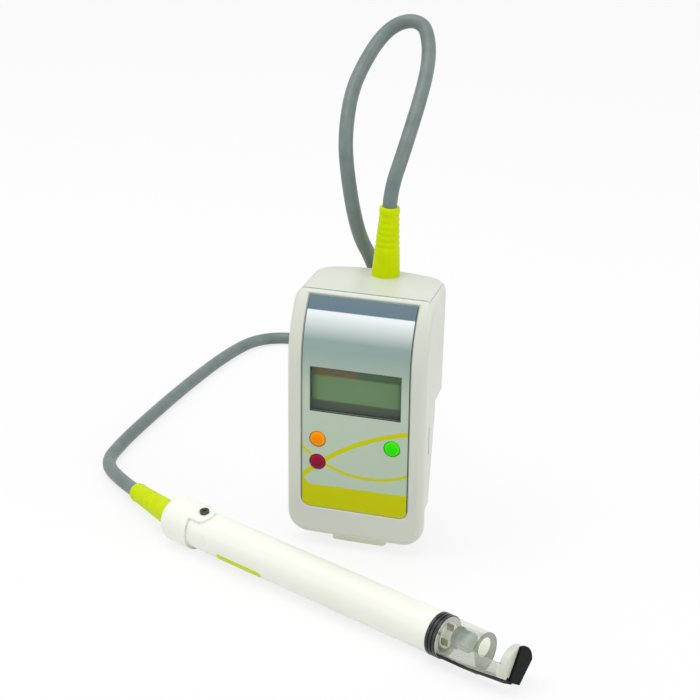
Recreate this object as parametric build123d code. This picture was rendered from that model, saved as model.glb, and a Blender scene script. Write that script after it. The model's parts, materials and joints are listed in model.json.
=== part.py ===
from build123d import *
from math import cos, degrees, pi, radians, sin, tan
import os

# A pocket colorimeter that stands on its data connector, with a dip probe on a cable.
# Millimetres. +Z is up, -Y is the side with the display, and the origin is the middle
# of the connector's mouth, on the surface that the case and the probe stand on.

# Case: two mouldings, the front one with cheeks that wrap the rear one
CASE_WIDTH = 58.0
CASE_BASE_Z = 5.0           # underside of the case, the reach of the connector below it
FRONT_Y = -11.6             # flat part of the front face
CHEEK = 2.5                 # thickness of the front moulding's side walls
FRONT_WALL = 2.4
DOME_START_Z = 81.0         # above this the front face curves back
DOME_RADIUS = 38.5
CREASE_ANGLE = 48.0         # degrees of dome before the level top
HEAD_BACK_Y = 31.6          # back of the deep upper part, at the top
HEAD_LOW_Y = 29.4           # and at the ledge
HEAD_CORNER = 13.0          # its rounding, seen from above
BACK_BOW = 77.0             # radius of the slight curve of the back
LEDGE_Z = 65.0              # underside of the upper part, at the cheek
LEDGE_RISE = 3.2            # and how much higher it is at the back
CHEEK_MID_Y = 5.4           # cheek's rear edge under the ledge
CHEEK_LOW_Y = -1.9
CHEEK_FOOT_Y = -7.1
FOOT_Z = 21.8
TRAY_HIGH_Y = 13.0          # rear moulding's back under the ledge
TRAY_LOW_Y = 9.6
TRAY_CORNER = 9.5
TRAY_WALL = 2.2
SEAM = 0.15                 # gap all round between the two mouldings
FOOT_CORNER = 9.0           # rounding of the foot, seen from the front
TOP_CORNER = 5.0
EDGE_ROUND = 3.0            # rounding of the front moulding's outer edges
GRIP_HEIGHT = 12.0          # thumb groove in each cheek
GRIP_WIDTH = 1.2
GRIP_DEPTH = 0.7
GRIP_Y = -3.6
GRIP_Z = 51.0

# Printed overlay, in a recess that follows the front face
LABEL_WIDTH = 45.0
LABEL_BOTTOM_Z = 18.2
LABEL_TOP_ANGLE = 44.0      # how far round the dome it reaches, in degrees
LABEL_CORNER = 3.6
LABEL_DEEP = 0.8            # depth of the recess
LABEL_THICK = 0.5
LABEL_GAP = 0.4             # groove left round the overlay

# Display
WINDOW_WIDTH = 37.7
WINDOW_HEIGHT = 19.1
WINDOW_Z = 71.1
PANE_LAP = 1.0              # how far the pane reaches behind the overlay
PANE_THICK = 1.0
BEZEL_WIDTH = 43.0
BEZEL_HEIGHT = 24.4
BEZEL_BEHIND = 0.2          # gap between the front wall and the display's frame
BEZEL_WALL = 1.6
GLASS_THICK = 2.0
ACTIVE_WIDTH = 34.6
ACTIVE_HEIGHT = 12.2

# Circuit board and case screws
BOARD_Y = -2.0              # front face of the board
BOARD_THICK = 1.6
BOARD_WIDTH = 47.6
BOARD_LOW_Z = 13.0
BOARD_HIGH_Z = 98.0
POST_RADIUS = 3.0
POST_X = 20.5
POST_LOW_Z = 29.0
POST_HIGH_Z = 91.0
SCREW_SHANK = 1.45          # radius
SCREW_HEAD = 2.75           # radius
SCREW_HEAD_HIGH = 2.0
SCREW_SEAT = 2.6            # plastic left under a screw head
SCREW_CLEAR = 0.15
SCREW_BITE = 5.0            # thread length in the front post

# Push buttons
BUTTON_RADIUS = 3.4
BUTTON_CLEAR = 0.15
BUTTON_PROUD = 1.0          # stands this far out of the overlay
BUTTON_CROWN = 0.5
BUTTON_FLANGE = 4.3
BUTTON_FLANGE_THICK = 0.8
BUTTON_TRAVEL = 0.6
BUTTON_X = 15.7
BUTTON_HIGH_Z = 49.0
BUTTON_LOW_Z = 38.7
PLUNGER_RADIUS = 1.7
SWITCH_SIDE = 6.0
SWITCH_HIGH = 3.6
SWITCH_WELL = 1.6           # depth of the well that the plunger works in

# Data connector, a 15-way D-shaped plug
PLUG_WIDE = 25.0
PLUG_NARROW = 22.2
PLUG_DEEP = 8.4
PLUG_CORNER = 1.8
PLUG_SKIN = 0.5
FLANGE_WIDTH = 39.2
FLANGE_DEPTH = 12.6
FLANGE_THICK = 1.0
FLANGE_CORNER = 1.5
FLANGE_Z = 5.9              # mating side of the flange, above the shell's mouth
FIT = 0.1                   # clearance of a piece in its pocket
INSULATOR_FACE_Z = 5.4
INSULATOR_TOP_Z = 13.6
PIN_RADIUS = 0.5
PIN_PITCH = 2.77
PIN_ROW = 2.84
PIN_TIP_Z = 0.7
PIN_TAIL_Z = 17.0

# Cable outlet sleeve on top of the case
CABLE_RADIUS = 3.0
BOOT_X = 1.65
BOOT_Y = 25.4
BOOT_LEAN = 2.4             # degrees, to the right
BOOT_LENGTH = 29.2
BOOT_BASE = 5.95            # radius at the case
BOOT_END = 4.0              # radius at the cable
BOOT_RIM = 2.6
BOOT_GROOVE_COUNT = 6
BOOT_GROOVE_DEEP = 0.15
BOOT_SMOOTH = 0.42          # share of a sleeve's length below its first groove
BOOT_NECK = 3.6             # radius where it passes through the case's top
BOOT_REACH = 2.5            # from the top face to the collar that holds it
BOOT_COLLAR = 4.6
BOOT_COLLAR_THICK = 1.6
FIRST_RUN = 7.5             # the cable leaves the sleeve straight for this length

# Probe: a tube that lies on the surface, 23 degrees off the case's width
PROBE_X = -75.6             # middle of the cap's outer face
PROBE_Y = -22.3
PROBE_Z = 9.6
PROBE_YAW = -23.135
PROBE_DIP = 0.4
TUBE_RADIUS = 8.4
TUBE_WALL = 1.5
CAP_LENGTH = 15.5
CAP_SKIRT_THICK = 1.1
CAP_ROUND = 4.0
TONGUE_LENGTH = 9.0
TONGUE_WIDTH = 9.6
TONGUE_TURN = 10.0          # degrees from the top, towards the display side
TONGUE_SCREW_AT = 20.2
CAP_SCREW = 1.1             # radius of the shank of the tongue's screw
TUBE_START = 5.2
COLLAR_START = 139.3
COLLAR_LENGTH = 4.4
COLLAR_RADIUS = 8.55
COLLAR_RIDGE_COUNT = 3
COLLAR_GROOVE = 0.4
HEAD_RADIUS = 8.2
HEAD_END = 175.0
GAP_START = 160.4           # measuring gap between lamp and detector
GAP_END = 172.0
SPINE_TURN = 104.0          # degrees from the top: middle of the bridge across the gap
SPINE_FLAT = 5.7            # distance of the bridge's inner face from the axis
LAMP_BORE = 5.2
LAMP_BORE_END = 157.6
SPIGOT_LENGTH = 9.0
SPIGOT_RADIUS = 6.0
LAMP_RADIUS = 3.9
LAMP_LENGTH = 9.0
LAMP_START = 147.0
HOLDER_THICK = 2.0
EYE_RADIUS = 2.6
EYE_THICK = 2.4
STRIP_TURN = 130.0          # degrees from the top: middle of the backing strip
STRIP_WIDTH = 5.4
STRIP_THICK = 1.1
STRIP_START = 144.2
KEEL_BEND = 155.0           # from here the head's underside rises towards the tip
KEEL_RISE = 1.9
PLATE_THICK = 1.2
PLATE_RADIUS = 8.6
FAR_TURN = -135.0           # directions of the plate's three straight sides, and how deep
FAR_CUT = 2.5               # each is cut into the round
NEAR_TURN = 61.0
NEAR_CUT = 5.0
LOW_TURN = 146.0
LOW_CUT = 2.6
LOW_STEP = 0.3              # the detector's end is cut this much less than the plate
TAG_START = 32.0
TAG_LENGTH = 24.0
TAG_WIDTH = 3.4
TAG_TURN = 122.0
TAG_THICK = 0.25
PROBE_BOARD_THICK = 1.4
PROBE_BOARD_START = 30.0
PROBE_BOARD_END = 128.0
SLEEVE_TIP = (-100.6, -1.0, 6.2)
SLEEVE_BASE = 5.5
SLEEVE_END = 3.7
SLEEVE_SEAT = 2.4           # depth of the sleeve's counterbore in the cap
SLEEVE_NECK = 3.4
SLEEVE_REACH = 7.2
SLEEVE_COLLAR = 4.0
SLEEVE_COLLAR_THICK = 1.4
LAST_RUN = 14.0
TINY = 0.05

# Middle line of the cable from the case's sleeve to the probe's sleeve: a loop that
# leans back, a fall behind the case, and a sweep over the surface to the probe.
CABLE_POINTS = [
    (6.2, 32.6, 159.8),
    (8.2, 54.9, 181.0),
    (6.6, 70.0, 191.2),
    (3.2, 77.5, 199.7),
    (-0.7, 79.5, 202.1),
    (-5.5, 80.5, 202.3),
    (-11.0, 79.0, 200.3),
    (-15.7, 74.5, 195.8),
    (-19.2, 66.0, 188.6),
    (-21.9, 54.9, 178.8),
    (-20.9, 42.4, 167.3),
    (-18.6, 33.8, 153.8),
    (-13.4, 33.8, 123.6),
    (-7.4, 39.4, 109.0),
    (-4.6, 51.0, 84.0),
    (-8.0, 80.0, 52.0),
    (-20.0, 120.0, 20.0),
    (-38.0, 155.4, 3.0),
    (-64.0, 184.4, 3.0),
    (-92.0, 194.9, 3.0),
    (-111.5, 186.4, 3.0),
    (-118.6, 163.4, 3.0),
    (-122.8, 135.4, 3.0),
    (-125.9, 104.4, 3.0),
    (-128.1, 73.4, 3.0),
    (-129.2, 47.4, 3.0),
    (-128.0, 26.0, 3.0),
]

HALF = CASE_WIDTH / 2
TRAY_HALF = HALF - CHEEK - SEAM
DOME_Y = FRONT_Y + DOME_RADIUS
TOP_Z = DOME_START_Z + DOME_RADIUS * sin(radians(CREASE_ANGLE))
LEDGE_SLOPE = LEDGE_RISE / (HEAD_LOW_Y - CHEEK_MID_Y)
INNER_Y = FRONT_Y + FRONT_WALL
BEZEL_Y = INNER_Y + BEZEL_BEHIND
CAP_RADIUS = TUBE_RADIUS + CAP_SKIRT_THICK
PROBE = Pos(PROBE_X, PROBE_Y, PROBE_Z) * Rot(0, 0, PROBE_YAW) * Rot(0, PROBE_DIP, 0)
BOOT = Pos(BOOT_X, BOOT_Y, TOP_Z) * Rot(0, BOOT_LEAN, 0)


# Helpers for the shapes that several pieces share

def dome_point(radius, angle):
    """Point of the side view at this distance and angle round the dome's centre."""
    return (DOME_Y - radius * cos(radians(angle)), DOME_START_Z + radius * sin(radians(angle)))


def front_curve(inset, low_z, angle=None):
    """Side view of the front face, moved in by inset: straight, then the dome."""
    angle = CREASE_ANGLE if angle is None else angle
    foot = (FRONT_Y + inset, low_z)
    bend = (FRONT_Y + inset, DOME_START_Z)
    return Line(foot, bend) + JernArc(bend, (0, 1), DOME_RADIUS - inset, -angle)


def ledge_z(y):
    return LEDGE_Z + LEDGE_SLOPE * (y - CHEEK_MID_Y)


def plan(half_width, back_y, corner):
    """Outline seen from above: straight sides, rounded corners and a slightly bowed back."""
    side_y = back_y - half_width**2 / (2 * BACK_BOW)
    sides = Polyline(
        (-half_width, side_y), (-half_width, 3 * FRONT_Y), (half_width, 3 * FRONT_Y), (half_width, side_y)
    )
    outline = make_face(sides + ThreePointArc((half_width, side_y), (0, back_y), (-half_width, side_y)))
    return fillet(outline.vertices().group_by(Axis.Y)[-1], corner)


def column(low_z, low_back, high_z, high_back, half_width, corner):
    """Upright body whose back leans from one depth to another."""
    ends = [
        Pos(0, 0, z) * plan(half_width, back, corner)
        for z, back in ((low_z, low_back), (high_z, high_back))
    ]
    return loft(ends, ruled=True)


def head_column(inset=0.0):
    return column(
        LEDGE_Z, HEAD_LOW_Y - inset, TOP_Z + 1, HEAD_BACK_Y - inset, HALF - inset, HEAD_CORNER - inset
    )


def across(profile, half_width):
    """A side view made into a solid that reaches half_width to each side."""
    return extrude(Plane.YZ * profile, half_width, both=True)


def front_outline(inset, low_corner, top_corner, low_z=CASE_BASE_Z, high_z=TOP_Z):
    """Solid with the case's outline seen from the front, deeper than the case."""
    half = HALF - inset
    outline = make_face(
        FilletPolyline(
            (-half, low_z),
            (half, low_z),
            (half, high_z),
            (-half, high_z),
            close=True,
            radius=[low_corner, low_corner, top_corner, top_corner],
        )
    )
    return extrude(Plane.XZ * outline, 2 * CASE_WIDTH, both=True)


def front_rod(x, z, radius, near_y, far_y):
    """Round rod along Y from near_y to far_y."""
    return Pos(x, near_y, z) * Rot(-90, 0, 0) * Cylinder(
        radius, far_y - near_y, align=(Align.CENTER, Align.CENTER, Align.MIN)
    )


def front_slab(width, height, x, z, near_y, far_y, corner=0.0):
    """Flat piece parallel to the front face, with rounded corners if asked."""
    outline = RectangleRounded(width, height, corner) if corner else Rectangle(width, height)
    return extrude(Plane((x, near_y, z), z_dir=(0, 1, 0), x_dir=(1, 0, 0)) * outline, far_y - near_y)


def label_band(outer_inset, inner_inset, half_width, low_z, top_angle, corner):
    """Layer between two depths under the front face, cut to the overlay's outline."""
    ends = [dome_point(DOME_RADIUS - inset, top_angle) for inset in (outer_inset, inner_inset)]
    section = make_face(
        front_curve(outer_inset, low_z, top_angle)
        + Line(ends[0], ends[1])
        + front_curve(inner_inset, low_z, top_angle)
        + Line((FRONT_Y + inner_inset, low_z), (FRONT_Y + outer_inset, low_z))
    )
    band = across(section, half_width)
    low_edges = band.edges().filter_by(Axis.Y).group_by(Axis.Z)[0]
    return fillet(low_edges, corner)


def plug_outline(shrink=0.0):
    """The connector's D shape, seen along Z, with its narrow side to the front."""
    wide = PLUG_WIDE / 2 - shrink
    narrow = PLUG_NARROW / 2 - shrink
    deep = PLUG_DEEP / 2 - shrink
    return make_face(
        FilletPolyline(
            (-narrow, -deep),
            (narrow, -deep),
            (wide, deep),
            (-wide, deep),
            close=True,
            radius=max(PLUG_CORNER - shrink, 0.3),
        )
    )


def upright(outline, low_z, high_z):
    return extrude(Pos(0, 0, low_z) * outline, high_z - low_z)


def turned(points):
    """Solid of revolution about X from points given as (along, radius)."""
    return revolve(make_face(Polyline(*points, close=True)), Axis.X)


def ring(start, end, outer, inner):
    return turned([(start, inner), (end, inner), (end, outer), (start, outer)])


def rod(start, end, radius):
    return turned([(start, 0), (end, 0), (end, radius), (start, radius)])


# Places shared by several pieces

POSTS = [(x, z) for z in (POST_LOW_Z, POST_HIGH_Z) for x in (-POST_X, POST_X)]
BUTTONS = {
    "button_orange": (-BUTTON_X, BUTTON_HIGH_Z),
    "button_crimson": (-BUTTON_X, BUTTON_LOW_Z),
    "button_green": (BUTTON_X, BUTTON_HIGH_Z),
}
PINS = [(PIN_PITCH * (i - 3.5), PIN_ROW / 2) for i in range(8)]
PINS += [(PIN_PITCH * (i - 3.0), -PIN_ROW / 2) for i in range(7)]


# The case

def front_block():
    """Whole volume that the front moulding is hollowed from."""
    rear = Polyline(
        dome_point(DOME_RADIUS, CREASE_ANGLE),
        (2 * HEAD_BACK_Y, TOP_Z),
        (2 * HEAD_BACK_Y, ledge_z(2 * HEAD_BACK_Y)),
        (CHEEK_MID_Y, LEDGE_Z),
        (CHEEK_MID_Y, LEDGE_Z - 4),
        (CHEEK_LOW_Y, FOOT_Z + 0.8),
        (CHEEK_FOOT_Y, FOOT_Z),
        (CHEEK_FOOT_Y, CASE_BASE_Z),
        (FRONT_Y, CASE_BASE_Z),
    )
    body = across(make_face(front_curve(0, CASE_BASE_Z) + rear), HALF)
    low = Pos(0, 0, LEDGE_Z) * Box(
        4 * HALF, 4 * HALF, LEDGE_Z, align=(Align.CENTER, Align.CENTER, Align.MAX)
    )
    return body & (head_column() + low) & front_outline(0, FOOT_CORNER, TOP_CORNER)


def front_cavity():
    """Room between the cheeks, open to the back."""
    start = (FRONT_Y + FRONT_WALL, CASE_BASE_Z + FRONT_WALL)
    rim = dome_point(DOME_RADIUS + 10, CREASE_ANGLE)
    behind = Polyline(
        dome_point(DOME_RADIUS - FRONT_WALL, CREASE_ANGLE),
        rim,
        (2 * HEAD_BACK_Y, rim[1]),
        (2 * HEAD_BACK_Y, start[1]),
        start,
    )
    room = across(make_face(front_curve(FRONT_WALL, start[1]) + behind), HALF - CHEEK)
    return room & front_outline(CHEEK, FOOT_CORNER - CHEEK, 0.5, start[1], TOP_Z + 20)


def front_shell():
    """Front moulding: face, dome, foot and the two cheeks."""
    body = front_block()
    outer_edges = body.faces().sort_by(Axis.X)[0].edges() + body.faces().sort_by(Axis.X)[-1].edges()
    front_edges = outer_edges.filter_by(lambda e: e.bounding_box().max.Y < DOME_Y - DOME_RADIUS / 2)
    body = fillet(front_edges.filter_by(lambda e: e.center().Y < CHEEK_FOOT_Y), EDGE_ROUND)
    body -= front_cavity()
    for x, z in POSTS:
        body += front_rod(x, z, POST_RADIUS, INNER_Y - 0.2, BOARD_Y)
        body -= front_rod(x, z, SCREW_SHANK + TINY, BOARD_Y - SCREW_BITE - 0.5, BOARD_Y)
    body -= label_band(
        -1, LABEL_DEEP, LABEL_WIDTH / 2 + LABEL_GAP, LABEL_BOTTOM_Z - LABEL_GAP,
        LABEL_TOP_ANGLE + 0.6, LABEL_CORNER + LABEL_GAP,
    )
    pane_y = FRONT_Y + LABEL_DEEP
    body -= front_slab(
        WINDOW_WIDTH + 2 * (PANE_LAP + FIT), WINDOW_HEIGHT + 2 * (PANE_LAP + FIT),
        0, WINDOW_Z, pane_y, pane_y + PANE_THICK + TINY,
    )
    body -= front_slab(WINDOW_WIDTH, WINDOW_HEIGHT, 0, WINDOW_Z, FRONT_Y, INNER_Y + 1)
    for x, z in BUTTONS.values():
        body -= front_rod(x, z, BUTTON_RADIUS + BUTTON_CLEAR, FRONT_Y - 1, INNER_Y + 1)
    for side in (-1, 1):
        body -= Pos(side * HALF, GRIP_Y, GRIP_Z) * Box(2 * GRIP_DEPTH, GRIP_WIDTH, GRIP_HEIGHT)
    return body


def back_block(inset=0.0):
    """The rear moulding's outside, or its hollow when given the wall as inset."""
    half = TRAY_HALF - inset
    head = across(
        make_face(
            Polyline(
                (2 * FRONT_Y, ledge_z(2 * FRONT_Y) + inset),
                (2 * HEAD_BACK_Y, ledge_z(2 * HEAD_BACK_Y) + inset),
                (2 * HEAD_BACK_Y, TOP_Z - inset),
                (2 * FRONT_Y, TOP_Z - inset),
                close=True,
            )
        ),
        half,
    )
    head &= head_column(inset)
    tray = column(
        CASE_BASE_Z + inset, TRAY_LOW_Y - inset, LEDGE_Z + 6, TRAY_HIGH_Y - inset, half, TRAY_CORNER - inset
    )
    corner = FOOT_CORNER - CHEEK - SEAM - inset
    return (head + tray) & front_outline(CHEEK + SEAM + inset, corner, 0.5, CASE_BASE_Z + inset, TOP_Z + 20)


def connector_pocket():
    """Room in the foot for the connector's flange, and the D-shaped hole for its shell."""
    flange = Box(
        FLANGE_WIDTH + 2 * FIT, FLANGE_DEPTH + 2 * FIT + 4, 3, align=(Align.CENTER, Align.MAX, Align.MIN)
    )
    hole = upright(plug_outline(-2 * FIT), CASE_BASE_Z - 1, FLANGE_Z + 1)
    return Pos(0, FLANGE_DEPTH / 2 + FIT, FLANGE_Z) * flange + hole


def back_shell():
    """Rear moulding: a deep head with the level top, a ledge, and a shallow tray below."""
    body = back_block() & front_outline(0, FOOT_CORNER, TOP_CORNER)
    outside = body
    body -= back_block(TRAY_WALL)
    seam_angle = CREASE_ANGLE + degrees(SEAM / DOME_RADIUS)
    in_front = Polyline(
        (4 * FRONT_Y, CASE_BASE_Z - 5),
        (CHEEK_FOOT_Y + SEAM, CASE_BASE_Z - 5),
        (CHEEK_FOOT_Y + SEAM, DOME_START_Z),
        dome_point(DOME_RADIUS - 3 * FRONT_WALL, seam_angle),
        dome_point(DOME_RADIUS + 15, seam_angle),
        (4 * FRONT_Y, TOP_Z + 10),
        close=True,
    )
    body -= across(make_face(in_front), CASE_WIDTH)
    board_back = BOARD_Y + BOARD_THICK
    for x, z in POSTS:
        body += front_rod(x, z, POST_RADIUS + 1.2, board_back, HEAD_BACK_Y + 5) & outside
    for x, z in POSTS:
        body -= front_rod(x, z, SCREW_SHANK + SCREW_CLEAR, board_back - 1, HEAD_BACK_Y + 5)
        body -= front_rod(x, z, SCREW_HEAD + SCREW_CLEAR, board_back + SCREW_SEAT, HEAD_BACK_Y + 5)
    body -= connector_pocket()
    body -= BOOT * Cylinder(BOOT_NECK + FIT, 20)
    collar = BOOT * Pos(0, 0, -BOOT_REACH + TINY) * Cylinder(
        BOOT_COLLAR + FIT, 6, align=(Align.CENTER, Align.CENTER, Align.MAX)
    )
    return body - collar


def case_screws():
    """Four pan-head screws that pull the back through the board into the front posts."""
    seat_y = BOARD_Y + BOARD_THICK + SCREW_SEAT
    screws = []
    for x, z in POSTS:
        shank = front_rod(x, z, SCREW_SHANK, BOARD_Y - SCREW_BITE, seat_y)
        head = front_rod(x, z, SCREW_HEAD, seat_y, seat_y + SCREW_HEAD_HIGH)
        slot = Pos(x, seat_y + SCREW_HEAD_HIGH, z) * (Box(3.4, 1.6, 0.7) + Box(0.7, 1.6, 3.4))
        screws.append(shank + head - slot)
    return Compound(children=screws)


def label_overlay():
    """Thin printed overlay that follows the dome, open at the display and the buttons."""
    sheet = label_band(
        LABEL_DEEP - LABEL_THICK, LABEL_DEEP, LABEL_WIDTH / 2, LABEL_BOTTOM_Z,
        LABEL_TOP_ANGLE, LABEL_CORNER,
    )
    sheet -= front_slab(WINDOW_WIDTH, WINDOW_HEIGHT, 0, WINDOW_Z, FRONT_Y - 1, FRONT_Y + 2)
    for x, z in BUTTONS.values():
        sheet -= front_rod(x, z, BUTTON_RADIUS + BUTTON_CLEAR, FRONT_Y - 1, FRONT_Y + 2)
    return sheet


def display_window():
    """Clear pane behind the overlay's opening."""
    pane_y = FRONT_Y + LABEL_DEEP + TINY
    return front_slab(
        WINDOW_WIDTH + 2 * PANE_LAP, WINDOW_HEIGHT + 2 * PANE_LAP, 0, WINDOW_Z,
        pane_y, pane_y + PANE_THICK,
    )


def display_bezel():
    """Metal frame of the display, folded round its glass, on the circuit board."""
    frame = front_slab(BEZEL_WIDTH, BEZEL_HEIGHT, 0, WINDOW_Z, BEZEL_Y, BOARD_Y, 0.8)
    inner_w = BEZEL_WIDTH - 2 * BEZEL_WALL
    inner_h = BEZEL_HEIGHT - 2 * BEZEL_WALL
    glass_back = BEZEL_Y + 0.4 + GLASS_THICK
    frame -= front_slab(inner_w, inner_h, 0, WINDOW_Z, BEZEL_Y + 0.4, glass_back)
    frame -= front_slab(inner_w - 1.6, inner_h - 1.6, 0, WINDOW_Z, BEZEL_Y - 1, BEZEL_Y + 1)
    return frame


def display_glass():
    """Display glass with its active field standing a hair proud of the border."""
    inner_w = BEZEL_WIDTH - 2 * BEZEL_WALL
    inner_h = BEZEL_HEIGHT - 2 * BEZEL_WALL
    front = BEZEL_Y + 0.4
    glass = front_slab(inner_w, inner_h, 0, WINDOW_Z, front, front + GLASS_THICK)
    return glass + front_slab(ACTIVE_WIDTH, ACTIVE_HEIGHT, 0, WINDOW_Z, front - 0.2, front)


def circuit_board():
    """Board that the display and the switches sit on, clamped between the posts."""
    height = BOARD_HIGH_Z - BOARD_LOW_Z
    middle = (BOARD_HIGH_Z + BOARD_LOW_Z) / 2
    board = front_slab(BOARD_WIDTH, height, 0, middle, BOARD_Y, BOARD_Y + BOARD_THICK, 2.0)
    for x, z in POSTS:
        board -= front_rod(x, z, SCREW_SHANK + SCREW_CLEAR, BOARD_Y - 1, BOARD_Y + 3)
    notch_z = INSULATOR_TOP_Z + 4.5
    return board - Pos(0, 0, notch_z - 10) * Box(PLUG_WIDE + 2, 10, 20)


# Push buttons and their switches

def button(x, z):
    """Round cap with a crowned face, a retaining flange and a plunger."""
    face_y = FRONT_Y + LABEL_DEEP - LABEL_THICK - BUTTON_PROUD
    flange_y = BEZEL_Y + FIT
    tip_y = BOARD_Y - SWITCH_HIGH + SWITCH_WELL - BUTTON_TRAVEL - 0.15
    cap = front_rod(x, z, BUTTON_RADIUS, face_y, flange_y)
    cap = fillet(cap.edges().sort_by(Axis.Y)[0], BUTTON_CROWN)
    cap += front_rod(x, z, BUTTON_FLANGE, flange_y, flange_y + BUTTON_FLANGE_THICK)
    return cap + front_rod(x, z, PLUNGER_RADIUS, flange_y, tip_y)


def switch_bodies():
    """Square switch bodies, each with the well that its button's plunger works in."""
    bodies = []
    for x, z in BUTTONS.values():
        front = BOARD_Y - SWITCH_HIGH
        block = front_slab(SWITCH_SIDE, SWITCH_SIDE, x, z, front, BOARD_Y, 0.5)
        bodies.append(block - front_rod(x, z, PLUNGER_RADIUS + FIT, front - 1, front + SWITCH_WELL))
    return Compound(children=bodies)


# The data connector

def connector_shell():
    """Drawn metal shell and flange of the plug."""
    flange = RectangleRounded(FLANGE_WIDTH, FLANGE_DEPTH, FLANGE_CORNER)
    body = upright(flange, FLANGE_Z, FLANGE_Z + FLANGE_THICK)
    body += upright(plug_outline(), 0, FLANGE_Z)
    return body - upright(plug_outline(PLUG_SKIN), -1, FLANGE_Z + 2)


def connector_insulator():
    """Block that fills the shell and holds the contacts."""
    block = upright(plug_outline(PLUG_SKIN + TINY), INSULATOR_FACE_Z, INSULATOR_TOP_Z)
    for x, y in PINS:
        block -= Pos(x, y, 0) * Cylinder(PIN_RADIUS, 2 * INSULATOR_TOP_Z + 4)
    return block


def connector_pins():
    """Fifteen contacts in two staggered rows, with rounded tips."""
    pins = []
    for x, y in PINS:
        pin = Pos(x, y, PIN_TIP_Z) * Cylinder(
            PIN_RADIUS - 0.01, PIN_TAIL_Z - PIN_TIP_Z, align=(Align.CENTER, Align.CENTER, Align.MIN)
        )
        pins.append(chamfer(pin.edges().sort_by(Axis.Z)[0], 0.2))
    return Compound(children=pins)


# The cable's sleeves and the cable

def grooved_cone(length, base, end, rim, grooves):
    """Side of a ribbed sleeve from its base to its rim, as (along, radius) points."""
    points = [(0.0, base)]
    first = BOOT_SMOOTH * length
    pitch = (length - rim - 0.6 - first) / grooves
    width = 0.25 * pitch
    for i in range(grooves):
        at = first + pitch * i
        here = base + (end - base) * at / length
        floor = here - BOOT_GROOVE_DEEP
        points += [(at, here), (at + width, floor), (at + 2 * width, floor), (at + 3 * width, here - TINY)]
    waist = end - 0.15
    points += [(length - rim - 0.3, waist), (length - rim, end + 0.1)]
    points += [(length - 0.5, end + 0.1), (length, end - 0.5)]
    return points


def case_boot():
    """Soft sleeve moulded on the cable, seated on the case's top and held by a collar inside."""
    cone = grooved_cone(BOOT_LENGTH, BOOT_BASE, BOOT_END, BOOT_RIM, BOOT_GROOVE_COUNT)
    outside = BOOT * Rot(0, -90, 0) * turned([(-4, 0), (-4, BOOT_BASE)] + cone + [(BOOT_LENGTH, 0)])
    outside -= Pos(BOOT_X, BOOT_Y, TOP_Z) * Box(30, 30, 20, align=(Align.CENTER, Align.CENTER, Align.MAX))
    collar_end = -BOOT_REACH - BOOT_COLLAR_THICK
    inside = BOOT * Rot(0, -90, 0) * turned(
        [
            (collar_end, 0),
            (collar_end, BOOT_COLLAR),
            (-BOOT_REACH, BOOT_COLLAR),
            (-BOOT_REACH, BOOT_NECK),
            (2, BOOT_NECK),
            (2, 0),
        ]
    )
    return outside + inside


def sleeve_place():
    """Frame at the middle of the cap's outer face, with X towards the sleeve's tip."""
    root = Vector(PROBE_X, PROBE_Y, PROBE_Z)
    out = Vector(*SLEEVE_TIP) - root
    return Plane(origin=root, x_dir=out, z_dir=out.cross(Vector(0, 0, 1))).location, out.length


def sleeve_bore():
    """Counterbore and hole in the cap for the leaning sleeve."""
    place, length = sleeve_place()
    bore = rod(-SLEEVE_SEAT, length, SLEEVE_BASE + TINY)
    return place * (bore + rod(-3 * SLEEVE_REACH, length, SLEEVE_NECK + TINY))


def probe_boot():
    """Soft sleeve that leads the cable out of the probe and down to the surface."""
    place, length = sleeve_place()
    collar_end = -SLEEVE_REACH - SLEEVE_COLLAR_THICK
    inside = [
        (collar_end, 0),
        (collar_end, SLEEVE_COLLAR),
        (-SLEEVE_REACH, SLEEVE_COLLAR),
        (-SLEEVE_REACH, SLEEVE_NECK),
        (-SLEEVE_SEAT, SLEEVE_NECK),
        (-SLEEVE_SEAT, SLEEVE_BASE),
    ]
    cone = grooved_cone(length, SLEEVE_BASE, SLEEVE_END, BOOT_RIM, BOOT_GROOVE_COUNT)
    return place * turned(inside + cone + [(length, 0)])


def cable_route():
    """Route with each corner rounded as far as its two runs allow."""
    place, length = sleeve_place()
    points = [(BOOT * Pos(0, 0, BOOT_LENGTH + run)).position for run in (0, FIRST_RUN)]
    points += [Vector(*p) for p in CABLE_POINTS]
    points += [(place * Pos(length + run, 0, 0)).position for run in (LAST_RUN, 0)]
    radii = []
    for before, here, after in zip(points, points[1:], points[2:]):
        shorter = min((here - before).length, (after - here).length)
        turn = (here - before).get_angle(after - here)
        radii.append(0.45 * shorter / tan(radians(turn / 2)))
    print("cable runs:", [round((b - a).length, 1) for a, b in zip(points, points[1:])])
    print("cable radii:", [round(r, 1) for r in radii])
    return FilletPolyline(*points, radius=radii)


def cable():
    route = cable_route()
    section = Plane(origin=route @ 0, z_dir=route % 0) * Circle(CABLE_RADIUS)
    tube = sweep(section, path=route)
    whole = route.length * pi * CABLE_RADIUS**2
    print("cable length:", round(route.length, 1), "volume share:", round(tube.volume / whole, 5))
    return tube


# The probe, built along X from the cap's outer face and then laid on the surface

def around(angle):
    """Turns a piece made on the top of the probe round its axis, towards the display side."""
    return Rot(angle, 0, 0)


def tongue(outer, extra=0.0):
    """Rounded tongue of the cap, as deep as the radius given."""
    end = CAP_LENGTH + TONGUE_LENGTH + extra
    half = TONGUE_WIDTH / 2 + extra
    outline = make_face(
        FilletPolyline(
            (CAP_LENGTH - 6, -half),
            (end, -half),
            (end, half),
            (CAP_LENGTH - 6, half),
            close=True,
            radius=[0, half - 0.3, half - 0.3, 0],
        )
    )
    return around(TONGUE_TURN) * extrude(outline, outer)


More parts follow.
